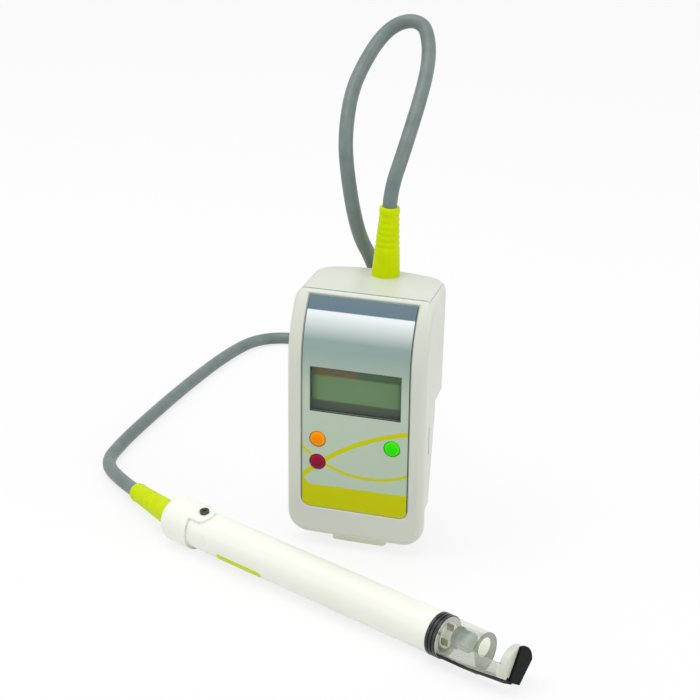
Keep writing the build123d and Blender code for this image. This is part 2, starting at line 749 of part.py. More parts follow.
def screw_hole():
    """Hole for the screw, through the tongue and the tube's wall."""
    hole = Cylinder(CAP_SCREW + FIT, 2 * CAP_RADIUS, align=(Align.CENTER, Align.CENTER, Align.MIN))
    return around(TONGUE_TURN) * Pos(TONGUE_SCREW_AT, 0, 0) * hole


def probe_end_cap():
    """Cap with a rounded end, a skirt over the tube and a tongue that takes the screw."""
    body = rod(0, CAP_LENGTH, CAP_RADIUS)
    body = fillet(body.edges().sort_by(Axis.X)[0], CAP_ROUND)
    body += ring(CAP_LENGTH - 1, CAP_LENGTH + TONGUE_LENGTH, CAP_RADIUS, TUBE_RADIUS) & tongue(20)
    body -= rod(TUBE_START, CAP_LENGTH + 20, TUBE_RADIUS)
    return PROBE * (body - screw_hole()) - sleeve_bore()


def cap_screw():
    """Cross-head screw through the tongue and the tube."""
    screw = Cylinder(CAP_SCREW, 4.0, align=(Align.CENTER, Align.CENTER, Align.MAX))
    screw += Cylinder(2.0, 0.9, align=(Align.CENTER, Align.CENTER, Align.MIN))
    screw -= Pos(0, 0, 0.9) * (Box(2.6, 0.5, 0.9) + Box(0.5, 2.6, 0.9))
    return PROBE * around(TONGUE_TURN) * Pos(TONGUE_SCREW_AT, 0, CAP_RADIUS + 0.02) * screw


def probe_tube():
    """Plain white tube between the cap and the collar."""
    body = ring(TUBE_START, COLLAR_START, TUBE_RADIUS, TUBE_RADIUS - TUBE_WALL)
    return PROBE * (body - screw_hole())


def probe_tag():
    """Rounded coloured tag stuck round the lower front of the tube."""
    skin = ring(TAG_START, TAG_START + TAG_LENGTH, TUBE_RADIUS + TAG_THICK, TUBE_RADIUS)
    patch = Pos(TAG_START + TAG_LENGTH / 2, 0, 0) * SlotOverall(TAG_LENGTH, TAG_WIDTH)
    return PROBE * (skin & around(TAG_TURN) * extrude(patch, 20))


def probe_board():
    """Long board inside the tube that carries the lamp's and detector's wiring."""
    middle = (PROBE_BOARD_START + PROBE_BOARD_END) / 2
    length = PROBE_BOARD_END - PROBE_BOARD_START
    return PROBE * Pos(middle, 0, 0) * Box(length, 2 * (TUBE_RADIUS - TUBE_WALL) - 0.5, PROBE_BOARD_THICK)


def probe_collar():
    """Ridged ring that locks the clear head to the tube."""
    pitch = COLLAR_LENGTH / COLLAR_RIDGE_COUNT
    side = [(COLLAR_START, SPIGOT_RADIUS), (COLLAR_START, COLLAR_RADIUS)]
    for i in range(1, COLLAR_RIDGE_COUNT):
        at = COLLAR_START + pitch * i
        low = COLLAR_RADIUS - COLLAR_GROOVE
        side += [(at - 0.3, COLLAR_RADIUS), (at - 0.15, low), (at + 0.15, low), (at + 0.3, COLLAR_RADIUS)]
    end = COLLAR_START + COLLAR_LENGTH
    side += [(end, COLLAR_RADIUS), (end, SPIGOT_RADIUS)]
    return PROBE * turned(side)


def keel(start, low, high, width, end=HEAD_END):
    """Bar along the head's underside between two depths, rising from the bend to the tip."""
    outline = Polyline(
        (start, low),
        (KEEL_BEND, low),
        (end, low - KEEL_RISE),
        (end, high - KEEL_RISE),
        (KEEL_BEND, high),
        (start, high),
        close=True,
    )
    bar = extrude(Plane.XZ * make_face(outline), width / 2, both=True)
    return around(STRIP_TURN) * bar


def flat(turn, cut, start):
    """What lies outside a straight side that is cut into the round from here to the tip."""
    side = Box(20, 40, 10, align=(Align.MIN, Align.CENTER, Align.MIN))
    return around(turn) * Pos(start, 0, HEAD_RADIUS - cut) * side


def optical_head():
    """Clear head: lamp end, measuring gap with its bridge, and detector end."""
    end = COLLAR_START + COLLAR_LENGTH
    body = rod(end, HEAD_END, HEAD_RADIUS)
    body += rod(COLLAR_START - SPIGOT_LENGTH, end, SPIGOT_RADIUS - TINY)
    body = fillet(body.edges().sort_by(Axis.X)[-1], 0.5)
    body -= rod(COLLAR_START - SPIGOT_LENGTH - 1, LAMP_BORE_END, LAMP_BORE)
    middle = (GAP_START + GAP_END) / 2
    room = Box(GAP_END - GAP_START, 40, 40, align=(Align.CENTER, Align.CENTER, Align.MAX))
    body -= around(SPINE_TURN) * Pos(middle, 0, SPINE_FLAT) * room
    body -= rod(HEAD_END - EYE_THICK, HEAD_END + 1, EYE_RADIUS + TINY)
    body -= keel(KEEL_BEND - 1, HEAD_RADIUS, HEAD_RADIUS + 5, 40)
    body -= keel(STRIP_START - TINY, HEAD_RADIUS - STRIP_THICK, HEAD_RADIUS + 5, STRIP_WIDTH + 2 * TINY)
    return PROBE * (body - flat(LOW_TURN, LOW_CUT - LOW_STEP, GAP_END))


def lamp_holder():
    """Disc in the lamp bore that carries the lamp."""
    body = rod(LAMP_START - HOLDER_THICK, LAMP_START, LAMP_BORE - 0.02)
    return PROBE * fillet(body.edges().sort_by(Axis.X)[-1], 0.3)


def lamp():
    """Round lamp with a domed lens, facing the gap."""
    straight = LAMP_START + LAMP_LENGTH - LAMP_RADIUS
    rim = rod(LAMP_START, LAMP_START + 1.2, LAMP_RADIUS + 0.5)
    body = rim + rod(LAMP_START, straight, LAMP_RADIUS) + Pos(straight, 0, 0) * Sphere(LAMP_RADIUS)
    return PROBE * body


def lamp_contacts():
    """Two brass lugs on the holder's rim, seen through the clear head."""
    low = LAMP_RADIUS + 0.6
    lugs = []
    for turn in (27.0, 68.0):
        lug = Pos(LAMP_START + 1.0, 0, low) * Box(
            2.0, 2.4, LAMP_BORE - low - 0.3, align=(Align.CENTER, Align.CENTER, Align.MIN)
        )
        lugs.append(PROBE * around(turn) * lug)
    return Compound(children=lugs)


def detector():
    """Flat round detector in its pocket at the tip."""
    return PROBE * rod(HEAD_END - EYE_THICK, HEAD_END, EYE_RADIUS)


def backing_strip():
    """Black strip that covers the detector's wires along the bridge."""
    low = HEAD_RADIUS - STRIP_THICK + TINY
    strip = keel(STRIP_START, low, HEAD_RADIUS, STRIP_WIDTH) & rod(STRIP_START, HEAD_END, HEAD_RADIUS)
    return PROBE * (strip - flat(LOW_TURN, LOW_CUT - LOW_STEP, GAP_END))


def tip_plate():
    """Black plate over the detector end, with three straight sides and a round top."""
    body = rod(HEAD_END, HEAD_END + PLATE_THICK, PLATE_RADIUS)
    body = fillet(body.edges().sort_by(Axis.X)[-1], 0.5)
    for turn, cut in ((FAR_TURN, FAR_CUT), (NEAR_TURN, NEAR_CUT), (LOW_TURN, LOW_CUT)):
        body -= flat(turn, cut, HEAD_END - 1)
    return PROBE * body


PIECES = {
    "front_shell": front_shell,
    "back_shell": back_shell,
    "case_screws": case_screws,
    "label_overlay": label_overlay,
    "display_window": display_window,
    "display_bezel": display_bezel,
    "display_glass": display_glass,
    "circuit_board": circuit_board,
    "switch_bodies": switch_bodies,
    "connector_shell": connector_shell,
    "connector_insulator": connector_insulator,
    "connector_pins": connector_pins,
    "case_boot": case_boot,
    "cable": cable,
    "probe_boot": probe_boot,
    "probe_end_cap": probe_end_cap,
    "cap_screw": cap_screw,
    "probe_tube": probe_tube,
    "probe_tag": probe_tag,
    "probe_board": probe_board,
    "probe_collar": probe_collar,
    "optical_head": optical_head,
    "lamp_holder": lamp_holder,
    "lamp": lamp,
    "lamp_contacts": lamp_contacts,
    "detector": detector,
    "backing_strip": backing_strip,
    "tip_plate": tip_plate,
}

os.makedirs("parts", exist_ok=True)
for node, make in PIECES.items():
    export_step(make(), f"parts/{node}.step")
for node, (button_x, button_z) in BUTTONS.items():
    export_step(button(button_x, button_z), f"parts/{node}.step")
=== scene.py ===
import json
import math

import bmesh
import bpy
from mathutils import Matrix, Vector

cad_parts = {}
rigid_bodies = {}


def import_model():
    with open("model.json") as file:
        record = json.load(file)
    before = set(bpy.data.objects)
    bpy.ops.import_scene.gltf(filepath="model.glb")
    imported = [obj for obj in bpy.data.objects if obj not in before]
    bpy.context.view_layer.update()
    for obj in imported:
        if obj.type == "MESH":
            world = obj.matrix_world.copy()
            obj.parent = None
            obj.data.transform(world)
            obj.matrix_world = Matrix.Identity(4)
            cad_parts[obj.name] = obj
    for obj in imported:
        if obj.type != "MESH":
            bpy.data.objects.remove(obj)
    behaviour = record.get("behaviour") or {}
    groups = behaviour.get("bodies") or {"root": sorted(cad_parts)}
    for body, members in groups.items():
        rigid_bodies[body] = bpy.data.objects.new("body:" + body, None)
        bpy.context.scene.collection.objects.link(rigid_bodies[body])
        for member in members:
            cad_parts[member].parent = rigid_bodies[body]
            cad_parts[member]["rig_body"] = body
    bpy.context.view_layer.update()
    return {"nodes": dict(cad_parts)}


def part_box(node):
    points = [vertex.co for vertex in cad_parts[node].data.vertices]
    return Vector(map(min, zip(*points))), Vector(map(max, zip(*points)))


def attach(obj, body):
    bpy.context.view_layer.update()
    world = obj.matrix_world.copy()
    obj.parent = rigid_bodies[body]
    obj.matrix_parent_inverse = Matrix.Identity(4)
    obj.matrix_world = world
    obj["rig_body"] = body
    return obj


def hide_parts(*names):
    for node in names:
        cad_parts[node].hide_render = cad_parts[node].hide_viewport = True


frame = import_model()
nodes = frame["nodes"]

# The studio: a white table top in a white room, under soft light from a wide ceiling panel and
# two side panels. The camera stands to the right of the case and above it, with a long lens.

CAMERA_PLACE = (0.182402, -0.642894, 0.366946)
CAMERA_RIGHT = (0.95833, 0.28542, 0.01144)
CAMERA_UP = (-0.12083, 0.36876, 0.92164)
CAMERA_BACK = (0.25883, -0.88462, 0.38789)
CAMERA_LENS = 92.58
SENSOR_WIDTH = 36.0
ROOM_LIGHT = 0.62
BACKDROP_WHITE = 1.0
TABLE_HALF = 4.0
TABLE_DROP = 0.0002
TABLE_WHITE = (0.86, 0.86, 0.86)
TABLE_GLOW = 0.78           # how far the table is white to the camera, beside its shadows
PANEL_TARGET = (0.0, 0.0, 0.08)
PANELS = {                  # place, side and watts of each panel
    "ceiling_panel": ((-0.35, -0.10, 1.6), 1.4, 13.0),
    "left_panel": ((-1.5, -0.9, 0.8), 1.0, 3.2),
    "right_panel": ((1.5, -0.4, 0.9), 1.0, 7.0),
}


class Reading:
    """A socket of a node tree, which takes part in sums and comparisons."""

    def __init__(self, bench, socket):
        self.bench = bench
        self.socket = socket

    def maths(self, operation, *values):
        return self.bench.node("ShaderNodeMath", {"operation": operation}, dict(enumerate(values)))

    def __add__(self, other):
        return self.maths("ADD", self, other)

    def __radd__(self, other):
        return self.maths("ADD", other, self)

    def __sub__(self, other):
        return self.maths("SUBTRACT", self, other)

    def __rsub__(self, other):
        return self.maths("SUBTRACT", other, self)

    def __mul__(self, other):
        return self.maths("MULTIPLY", self, other)

    def __rmul__(self, other):
        return self.maths("MULTIPLY", other, self)

    def __truediv__(self, other):
        return self.maths("DIVIDE", self, other)

    def __abs__(self):
        return self.maths("ABSOLUTE", self)

    def smaller(self, other):
        return self.maths("MINIMUM", self, other)

    def larger(self, other):
        return self.maths("MAXIMUM", self, other)

    def cosine(self):
        return self.maths("COSINE", self)

    def root(self):
        return self.maths("SQRT", self)


class Bench:
    """Fills one node tree: a material, the room's air, or a form that repeats."""

    def __init__(self, tree):
        self.tree = tree
        self.tree.nodes.clear()

    def node(self, kind, settings=None, sockets=None, out=0):
        """Adds a node, sets it, fills or links its sockets and gives back one of its outputs."""
        made = self.tree.nodes.new(kind)
        for name, value in (settings or {}).items():
            setattr(made, name, value)
        for key, value in (sockets or {}).items():
            for item in value if isinstance(value, list) else [value]:
                if isinstance(item, Reading):
                    self.tree.links.new(item.socket, made.inputs[key])
                else:
                    made.inputs[key].default_value = item
        return Reading(self, made.outputs[out]) if made.outputs else made

    def seen_directly(self):
        """1 for rays from the camera, in a mirror or through glass, and 0 for light itself."""
        rays = ("Is Camera Ray", "Is Glossy Ray", "Is Transmission Ray")
        camera, mirror, glass = [self.node("ShaderNodeLightPath", out=ray) for ray in rays]
        return camera.larger(mirror).larger(glass)

    def step(self, value, low, high):
        """Rises from 0 to 1 while the value goes from low to high."""
        return self.node("ShaderNodeMapRange", {}, {"Value": value, "From Min": low, "From Max": high})


class Finish(Bench):
    """A material with a principled surface, drawn in the piece's own coordinates."""

    def __init__(self, name, colour, roughness, **fixed):
        self.material = bpy.data.materials.new(name)
        self.material.use_nodes = True
        super().__init__(self.material.node_tree)
        settings = {"Base Color": (*colour, 1), "Roughness": roughness}
        settings.update({key.replace("_", " "): value for key, value in fixed.items()})
        self.surface = self.node("ShaderNodeBsdfPrincipled", {}, settings)
        self.output = self.node("ShaderNodeOutputMaterial", {}, {"Surface": self.surface})

    def feed(self, name, value):
        self.tree.links.new(value.socket, self.surface.socket.node.inputs[name])

    def place(self):
        """The three coordinates of the piece, in metres in the part's frame."""
        point = self.node("ShaderNodeTexCoord", out="Object")
        return [self.node("ShaderNodeSeparateXYZ", {}, {0: point}, out=i) for i in range(3)]

    def noise(self, size, detail=2.0, stretch=(1.0, 1.0, 1.0)):
        """Even mottling with features of about this size, in metres."""
        point = self.node("ShaderNodeTexCoord", out="Object")
        if stretch != (1.0, 1.0, 1.0):
            point = self.node("ShaderNodeMapping", {}, {"Vector": point, "Scale": stretch})
        return self.node("ShaderNodeTexNoise", {}, {"Vector": point, "Scale": 1 / size, "Detail": detail})

    def mix(self, share, first, second):
        """Colour between two colours, by share."""
        first, second = [(*c, 1) if isinstance(c, tuple) else c for c in (first, second)]
        return self.node("ShaderNodeMix", {"data_type": "RGBA"}, {0: share, 6: first, 7: second}, out=2)

    def grain(self, size, depth, detail=2.0):
        """Fine relief of the moulded or extruded skin."""
        height = self.noise(size, detail)
        self.feed("Normal", self.node("ShaderNodeBump", {}, {"Height": height, "Distance": depth}))

    def mottle(self, size, first, second):
        """Faint drift of tint over the surface, which also gives the share of the second tint."""
        share = self.step(self.noise(size), 0.3, 0.7)
        self.feed("Base Color", self.mix(share, first, second))
        return share


def table_finish():
    """White sheet that keeps the soft shadow and shows white to the camera."""
    finish = Finish("table_white", TABLE_WHITE, 0.9)
    finish.feed("Roughness", 0.85 + 0.1 * finish.noise(0.0004))
    glow = finish.node("ShaderNodeEmission", {}, {"Strength": BACKDROP_WHITE})
    share = TABLE_GLOW * finish.seen_directly()
    both = finish.node("ShaderNodeMixShader", {}, {0: share, 1: finish.surface, 2: glow})
    finish.tree.links.new(both.socket, finish.output.inputs["Surface"])
    return finish.material


def shown(name, data):
    """Object of this mesh, curve or light, in the scene."""
    made = bpy.data.objects.new(name, data)
    bpy.context.scene.collection.objects.link(made)
    return made


def table_top():
    half = TABLE_HALF
    mesh = bpy.data.meshes.new("table")
    corners = [(x, y, -TABLE_DROP) for x, y in ((-half, -half), (half, -half), (half, half), (-half, half))]
    mesh.from_pydata(corners, [], [(0, 1, 2, 3)])
    mesh.materials.append(table_finish())
    return shown("table", mesh)


def panel(name, place, width, power):
    """Soft square light that faces the object."""
    light = bpy.data.lights.new(name, "AREA")
    light.size = width
    light.energy = power
    made = shown(name, light)
    made.location = place
    made.rotation_euler = (Vector(PANEL_TARGET) - Vector(place)).to_track_quat("-Z", "Y").to_euler()
    return made


table_top()
[panel(name, *values) for name, values in PANELS.items()]

world = bpy.data.worlds.new("room")
bpy.context.scene.world = world
world.use_nodes = True
air = Bench(world.node_tree)
sky = air.node("ShaderNodeBackground", {}, {"Color": (1, 1, 1, 1), "Strength": ROOM_LIGHT})
backdrop = air.node("ShaderNodeBackground", {}, {"Color": (1, 1, 1, 1), "Strength": BACKDROP_WHITE})
room = air.node("ShaderNodeMixShader", {}, {0: air.seen_directly(), 1: sky, 2: backdrop})
air.node("ShaderNodeOutputWorld", {}, {"Surface": room})

camera = shown("camera", bpy.data.cameras.new("camera"))
camera.data.lens = CAMERA_LENS
camera.data.sensor_width = SENSOR_WIDTH
camera.data.clip_start = 0.05
camera.data.clip_end = 30.0
columns = [Vector(axis) for axis in (CAMERA_RIGHT, CAMERA_UP, CAMERA_BACK)]
camera.rotation_mode = "QUATERNION"
camera.rotation_quaternion = Matrix(columns).transposed().to_quaternion()
camera.location = CAMERA_PLACE
bpy.context.scene.camera = camera
bpy.context.scene.view_settings.view_transform = "Standard"

# The cable: a round six millimetre jacket of soft grey PVC over the probe's wires, extruded in
# one length. It leaves the case upwards, loops back down behind it and lies round to the probe.

CABLE_RADIUS = 0.003
CABLE_EXIT = (0.00287, 0.0254, 0.13879)
CABLE_END = (-0.1006, -0.0010, 0.0062)
CABLE_POINTS = [
    CABLE_EXIT,
    (0.00319, 0.0254, 0.14628),
    (0.0062, 0.0326, 0.1598),
    (0.0082, 0.0549, 0.1810),
    (0.0066, 0.0700, 0.1912),
    (0.0032, 0.0775, 0.1997),
    (-0.0007, 0.0795, 0.2021),
    (-0.0055, 0.0805, 0.2023),
    (-0.0110, 0.0790, 0.2003),
    (-0.0157, 0.0745, 0.1958),
    (-0.0192, 0.0660, 0.1886),
    (-0.0219, 0.0549, 0.1788),
    (-0.0209, 0.0424, 0.1673),
    (-0.0186, 0.0338, 0.1538),
    (-0.0134, 0.0338, 0.1236),
    (-0.0074, 0.0394, 0.1090),
    (-0.0046, 0.0510, 0.0840),
    (-0.0080, 0.0800, 0.0520),
    (-0.0200, 0.1200, 0.0200),
    (-0.0380, 0.1554, 0.0030),
    (-0.0640, 0.1844, 0.0030),
    (-0.0920, 0.1949, 0.0030),
    (-0.1115, 0.1864, 0.0030),
    (-0.1186, 0.1634, 0.0030),
    (-0.1228, 0.1354, 0.0030),
    (-0.1259, 0.1044, 0.0030),
    (-0.1281, 0.0734, 0.0030),
    (-0.1292, 0.0474, 0.0030),
    (-0.1280, 0.0260, 0.0030),
    (-0.1112, 0.00803, 0.00476),
    CABLE_END,
]
JACKET_GREY = (0.172, 0.218, 0.208)
JACKET_DEEP = (0.140, 0.180, 0.172)


def jacket_finish():
    """Soft PVC, satin, with the faint drag marks of extrusion and a little dust."""
    finish = Finish("grey_jacket", JACKET_GREY, 0.36, Specular_IOR_Level=0.35)
    share = finish.mottle(0.006, JACKET_GREY, JACKET_DEEP)
    finish.feed("Roughness", 0.32 + 0.12 * share)
    finish.grain(0.0006, 0.00004, detail=4.0)
    return finish.material


line = bpy.data.curves.new("cable_jacket", "CURVE")
line.dimensions = "3D"
route = line.splines.new("NURBS")
route.points.add(len(CABLE_POINTS) - 1)
for point, place in zip(route.points, CABLE_POINTS):
    point.co = (*place, 1)
route.order_u = 3
route.use_endpoint_u = True
route.resolution_u = 10
line.bevel_depth = CABLE_RADIUS
line.bevel_resolution = 6
line.use_fill_caps = True
line.materials.append(jacket_finish())
jacket = shown("cable_jacket", line)
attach(jacket, "body")
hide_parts("cable")

# The case: two mouldings in off-white ABS with a fine spark-eroded skin. The front one has the
# curved top and two cheeks, and the rear one slides between the cheeks and closes the box.

ABS_PALE = (0.640, 0.674, 0.598)
ABS_WARM = (0.622, 0.652, 0.573)
CASE_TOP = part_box("back_shell")[1][2]
FRONT_Y = -0.0116
DOME_Z = 0.081
DOME_RADIUS = 0.0385
RECESS_HALF = 0.0235        # outermost place of the overlay's recess on the front
RECESS_LOW = 0.017
LIP_ROUND = 0.0006          # rounding of the recess's lip
TOP_ROUND = 0.0012          # rounding of the case's top edge at the sides and back
NARROW = 0.00005
# Black painted shade for the walls and edges inside the display's opening.
OPENING_SHADE_BLACK = (0.020, 0.024, 0.022)
MASK_EDGE = 0.0003
PANE_LAP = 0.0010           # how far the pane reaches behind the overlay
TOP_FRONT = 0.0125          # the top edge is rounded behind this


def merged(node):
    """Editable copy of a CAD node's mesh, whole and with its flat areas joined."""
    edit = bmesh.new()
    edit.from_mesh(nodes[node].data)
    bmesh.ops.remove_doubles(edit, verts=edit.verts, dist=1e-6)
    bmesh.ops.dissolve_limit(edit, angle_limit=0.003, verts=edit.verts, edges=edit.edges)
    return edit


def round_off(edit, chosen, width):
    """Rounds the sharp edges that the test picks."""
    edges = [
        edge for edge in edit.edges
        if len(edge.link_faces) == 2 and edge.calc_face_angle(0) > 0.9 and chosen(edge)
    ]
    bmesh.ops.bevel(
        edit, geom=edges, offset=width, offset_type="OFFSET", segments=4, profile=0.5,
        affect="EDGES", clamp_overlap=False,
    )


def on_front(point):
    """Whether the point lies on the case's front, flat or curved."""
    if point.z <= DOME_Z:
        return abs(point.y - FRONT_Y) < NARROW
    away = math.hypot(point.y - FRONT_Y - DOME_RADIUS, point.z - DOME_Z)
    return abs(away - DOME_RADIUS) < NARROW


def at_recess(edge):
    """Whether the edge is the lip of the overlay's recess."""
    return all(
        on_front(vert.co) and abs(vert.co.x) < RECESS_HALF and vert.co.z > RECESS_LOW for vert in edge.verts
    )


def at_top(edge):
    """Whether the edge is the rear outline of the case's top, outside the seam."""
    ends = [vert.co for vert in edge.verts]
    level = all(point.z > CASE_TOP - 0.0016 and point.y > TOP_FRONT for point in ends)
    outer = any(face.normal.y > 0.2 or abs(face.normal.x) > 0.5 and abs(ends[0].x) > 0.0270
                for face in edge.link_faces)
    upper = any(face.normal.z > 0.9 for face in edge.link_faces)
    return level and outer and upper


def dressed(node, finish, flat=False, edit=None, angle=28.0):
    """Shows a CAD node by a finely shaded copy of its own mesh, on the same body."""
    edit = edit or merged(node)
    mesh = bpy.data.meshes.new(node + "_skin")
    for face in edit.faces:
        face.smooth = not flat
    edit.to_mesh(mesh)
    edit.free()
    mesh.materials.append(finish)
    piece = shown(node + "_skin", mesh)
    if not flat:
        mesh.set_sharp_from_angle(angle=math.radians(angle))
        shading = piece.modifiers.new("even_shading", "WEIGHTED_NORMAL")
        shading.keep_sharp = True
    return standing_for(piece, node)


def standing_for(piece, node):
    """The piece rides on the CAD node's body and takes its place."""
    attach(piece, nodes[node]["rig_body"])
    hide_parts(node)
    return piece


def display_shade_mask(finish):
    """One inside the display's opening, where the edges are darkened to black as painted shade."""
    x, y, z = finish.place()
    low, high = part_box("display_window")
    inside = 1 - finish.step(y, high[1] + PANE_LAP, high[1] + 2 * PANE_LAP)
    for value, start, end in ((x, low[0] + PANE_LAP, high[0] - PANE_LAP), (z, low[2] + PANE_LAP, high[2] - PANE_LAP)):
        inside = inside * finish.step(value, start - MASK_EDGE, start - MASK_EDGE / 2)
        inside = inside * (1 - finish.step(value, end + MASK_EDGE / 2, end + MASK_EDGE))
    return inside


def case_finish():
    """Moulded ABS with a fine even grain and a hardly visible drift of tint."""
    finish = Finish("case_plastic", ABS_PALE, 0.34, Specular_IOR_Level=0.5)
    share = finish.mottle(0.035, ABS_PALE, ABS_WARM)
    tint = finish.mix(share, ABS_PALE, ABS_WARM)
    # Inside the display's opening the plastic is painted black: painted shade of the recess.
    finish.feed("Base Color", finish.mix(display_shade_mask(finish), tint, OPENING_SHADE_BLACK))
    finish.feed("Roughness", 0.30 + 0.08 * share)
    finish.grain(0.00035, 0.00002, detail=3.0)
    return finish.material


abs_finish = case_finish()
front = merged("front_shell")
round_off(front, at_recess, LIP_ROUND)
round_off(front, at_top, TOP_ROUND)
dressed("front_shell", abs_finish, edit=front)
back = merged("back_shell")
round_off(back, at_top, TOP_ROUND)
dressed("back_shell", abs_finish, edit=back)

# The printed overlay: a thin polyester sheet, screen printed from behind in silver, slate and
# lime, that is glued into the recess of the front and follows its curve.

PRINT_SLATE = (0.130, 0.195, 0.235)
PRINT_WHITE = (0.800, 0.850, 0.845)
PRINT_GREY = (0.270, 0.365, 0.340)
PRINT_SILVER = (0.466, 0.566, 0.450)
PRINT_LIME = (0.560, 0.575, 0.0006)
PRINT_SPARKLE = (0.80, 0.82, 0.80)
# Dark painted shade along the overlay's side edges, where the recess gap is.
PRINT_EDGE_SHADE = (0.050, 0.065, 0.055)
SLATE_LOW = 0.1027
FADE_HIGH = 0.1015
FADE_LOW = 0.0920
GREY_MIDDLE = 0.0885
SILVER_HIGH = 0.0700
LIME_LINE = ((-0.0227, 0.0330), (-0.0196, 0.0281), (0.0226, 0.0286))
RISING_ARC = ((-0.0222, 0.0317), (-0.0039, 0.0459), (0.0227, 0.0563))
RISING_WIDTH = 0.0020
FALLING_ARC = ((-0.0227, 0.0453), (-0.0038, 0.0350), (0.0228, 0.0377))
FALLING_WIDTH = 0.0013
EDGE_SOFT = 0.00012


def circle_through(first, second, third):
    """Centre and radius of the circle through three points of the print."""
    (ax, az), (bx, bz), (cx, cz) = first, second, third
    d = 2 * (ax * (bz - cz) + bx * (cz - az) + cx * (az - bz))
    a2, b2, c2 = ax**2 + az**2, bx**2 + bz**2, cx**2 + cz**2
    x = (a2 * (bz - cz) + b2 * (cz - az) + c2 * (az - bz)) / d
    z = (a2 * (cx - bx) + b2 * (ax - cx) + c2 * (bx - ax)) / d
    return x, z, math.hypot(ax - x, az - z)


def overlay_finish():
    finish = Finish("overlay_print", PRINT_SILVER, 0.36, Specular_IOR_Level=0.12)
    x, y, z = finish.place()

    def arc(points, width):
        """Printed stripe along the circle through the points."""
        centre_x, centre_z, radius = circle_through(*points)
        across, up = x - centre_x, z - centre_z
        off = abs((across * across + up * up).root() - radius)
        return 1 - finish.step(off, width / 2 - EDGE_SOFT, width / 2 + EDGE_SOFT)

    base = finish.mix(finish.step(z, SILVER_HIGH, GREY_MIDDLE), PRINT_SILVER, PRINT_GREY)
    base = finish.mix(finish.step(z, FADE_LOW, FADE_HIGH), base, PRINT_WHITE)
    base = finish.mix(0.06 * finish.noise(0.0002, 1.0), base, PRINT_SPARKLE)
    (left_x, left_z), (corner_x, corner_z), (right_x, right_z) = LIME_LINE
    level = corner_z + (x - corner_x) * ((right_z - corner_z) / (right_x - corner_x))
    corner = corner_z + (corner_x - x).larger(0.0) * ((left_z - corner_z) / (corner_x - left_x))
    band = 1 - finish.step(z - level.larger(corner), -EDGE_SOFT, EDGE_SOFT)
    inked = arc(RISING_ARC, RISING_WIDTH).larger(arc(FALLING_ARC, FALLING_WIDTH)).larger(band)
    base = finish.mix(inked, base, PRINT_LIME)
    slate = finish.step(z, SLATE_LOW - EDGE_SOFT, SLATE_LOW + EDGE_SOFT)
    base = finish.mix(slate, base, PRINT_SLATE)
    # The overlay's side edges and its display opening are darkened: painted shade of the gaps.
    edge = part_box("label_overlay")[1][0]
    rim = finish.step(abs(x), edge - 0.00035, edge - 0.00015)
    finish.feed("Base Color", finish.mix(rim.larger(display_shade_mask(finish)), base, PRINT_EDGE_SHADE))
    finish.feed("Roughness", 0.32 + 0.10 * finish.noise(0.0012))
    finish.grain(0.0005, 0.00001)
    return finish.material


dressed("label_overlay", overlay_finish())

# The display: a reflective liquid crystal glass in a folded tin frame on the board, seen
# through a clear acrylic pane behind the overlay. The dark strips at its top and bottom and its
# darker sides are painted shade, and the brown at the top left is a painted reflection.

FIELD_OLIVE = (0.125, 0.235, 0.092)
FIELD_GRAIN = (0.115, 0.205, 0.080)
FIELD_SIDE_SHADE = (0.090, 0.130, 0.090)
TOP_SHADE_GREEN = (0.055, 0.122, 0.040)
TOP_REFLECTION_BROWN = (0.135, 0.100, 0.032)
LOW_SHADE_GREEN = (0.050, 0.072, 0.050)
FIELD_LOW = 0.0655
FIELD_HIGH = 0.0763
FIELD_HALF = 0.0186
REFLECTION_END = -0.0002
FIELD_SOFT = 0.0003
PANE_TINT = (0.70, 0.76, 0.72)


def glass_finish():
    finish = Finish("display_glass", FIELD_OLIVE, 0.30, Specular_IOR_Level=0.1)
    x, y, z = finish.place()
    # Painted shade: dark strips at the top and bottom and darker sides; painted reflection: brown at the top left.
    top = finish.mix(finish.step(x, REFLECTION_END - FIELD_SOFT, REFLECTION_END + FIELD_SOFT), TOP_REFLECTION_BROWN, TOP_SHADE_GREEN)
    colour = finish.mix(finish.step(z, FIELD_HIGH - FIELD_SOFT, FIELD_HIGH + FIELD_SOFT), FIELD_OLIVE, top)
    colour = finish.mix(finish.step(z, FIELD_LOW - FIELD_SOFT, FIELD_LOW + FIELD_SOFT), LOW_SHADE_GREEN, colour)
    colour = finish.mix(0.35 * finish.step(abs(x), FIELD_HALF - 0.001, FIELD_HALF), colour, FIELD_SIDE_SHADE)
    finish.feed("Base Color", finish.mix(0.15 * finish.noise(0.0007), colour, FIELD_GRAIN))
    finish.feed("Roughness", 0.26 + 0.08 * finish.noise(0.003))
    return finish.material


def pane_finish():
    finish = Finish("clear_pane", PANE_TINT, 0.08, Alpha=0.03, Specular_IOR_Level=0.3)
    finish.feed("Roughness", 0.06 + 0.05 * finish.noise(0.004))
    return finish.material


def tin_finish(name, colour, roughness, metallic=0.85):
    """Plated sheet: soft metallic shine with fine rolling marks."""
    finish = Finish(name, colour, roughness, Metallic=metallic)
    lines = finish.noise(0.0011, detail=3.0, stretch=(1.0, 1.0, 14.0))
    finish.feed("Roughness", roughness - 0.06 + 0.14 * lines)
    finish.feed("Base Color", finish.mix(lines, colour, tuple(0.86 * c for c in colour)))
    return finish.material


dressed("display_glass", glass_finish(), flat=True)
dressed("display_window", pane_finish(), flat=True)
# The frame's tin is darkened to stand for the shade inside the display's recess: painted shade.
dressed("display_bezel", tin_finish("tin_frame", (0.30, 0.30, 0.28), 0.40))

# The push buttons: crowned caps moulded in glossy coloured polystyrene. Each works through a
# hole in the overlay on a square switch that is soldered to the board.

